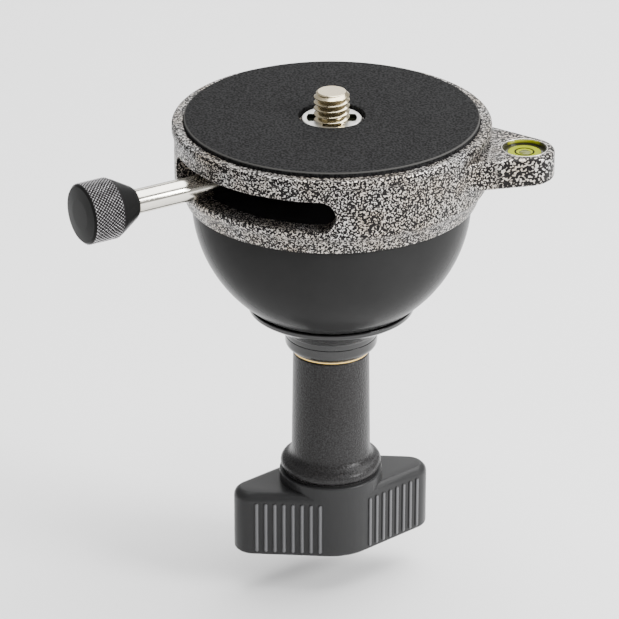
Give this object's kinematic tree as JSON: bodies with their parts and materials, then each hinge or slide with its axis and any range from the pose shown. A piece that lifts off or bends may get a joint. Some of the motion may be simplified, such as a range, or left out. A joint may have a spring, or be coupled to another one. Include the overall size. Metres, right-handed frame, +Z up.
{
  "type": "leveling base",
  "caption": "Half-ball leveling base with a threaded head stud, a locking lever in a slotted ring, a round bubble level and a winged clamp handle below.",
  "frame": {"origin": "centre of the half ball's sphere, which is the centre that the base tilts about in its bowl", "axes": "+Z up along the head stud, -Y towards the viewer of the picture, +X to the right"},
  "size_m": [0.127, 0.0887, 0.1329],
  "materials": {
    "hammer_paint": "speckled hammer paint, semi-gloss",
    "pad_rubber": "fine pebble grain, matt",
    "bearing_bronze": "machined",
    "white_nylon": "plain",
    "black_steel": "black oxide",
    "satin_black": "smooth satin black",
    "zinc_steel": "turned, zinc plated",
    "polished_steel": "polished",
    "stud_nickel": "nickel plated thread",
    "hub_metal": "turned",
    "clear_acrylic": "clear",
    "level_liquid": "tinted liquid with a bubble",
    "brass": "turned",
    "knob_black": "black, knurled band",
    "crinkle_black": "fine crinkle finish",
    "wing_plastic": "moulded satin black"
  },
  "bodies": {
    "head": {"platform": "hammer_paint", "friction_pad": "pad_rubber", "deck_bush": "bearing_bronze", "thrust_washer": "white_nylon", "deck_screws": "black_steel", "half_ball": "satin_black", "drawbar": "zinc_steel", "stop_washer": "zinc_steel", "stop_circlip": "black_steel", "vial_bezel": "polished_steel", "vial_cup": "clear_acrylic", "vial_liquid": "level_liquid", "vial_cover": "clear_acrylic"},
    "lever": {"stud_hub": "hub_metal", "head_stud": "stud_nickel", "castle_nut": "polished_steel", "hub_grub_screw": "black_steel", "lever_rod": "polished_steel", "lever_knob": "knob_black"},
    "clamp": {"clamp_dish": "satin_black", "thrust_collar": "satin_black", "brass_washer": "brass"},
    "handle": {"handle_tube": "crinkle_black", "thread_insert": "brass", "tail_plug": "hub_metal", "wing_knob": "wing_plastic", "wing_screw": "zinc_steel", "wing_screw_washer": "zinc_steel", "end_cap": "wing_plastic"}
  },
  "joints": [
    {"name": "lever_turn", "type": "hinge", "parent": "head", "child": "lever", "pos_m": [0, 0, 0.012], "axis": [0, 0, 1], "range_deg": [-14, 54]},
    {"name": "clamp_slide", "type": "slide", "parent": "head", "child": "clamp", "axis": [0, 0, -1], "range_m": [0, 0.012]},
    {"name": "handle_turn", "type": "hinge", "parent": "clamp", "child": "handle", "pos_m": [0, 0, -0.06], "axis": [0, 0, -1], "range_deg": [0, 2880]}
  ],
  "couplings": [
    {"joint": "handle_turn", "follows": "clamp_slide", "rad_per_m": 4188.8}
  ]
}
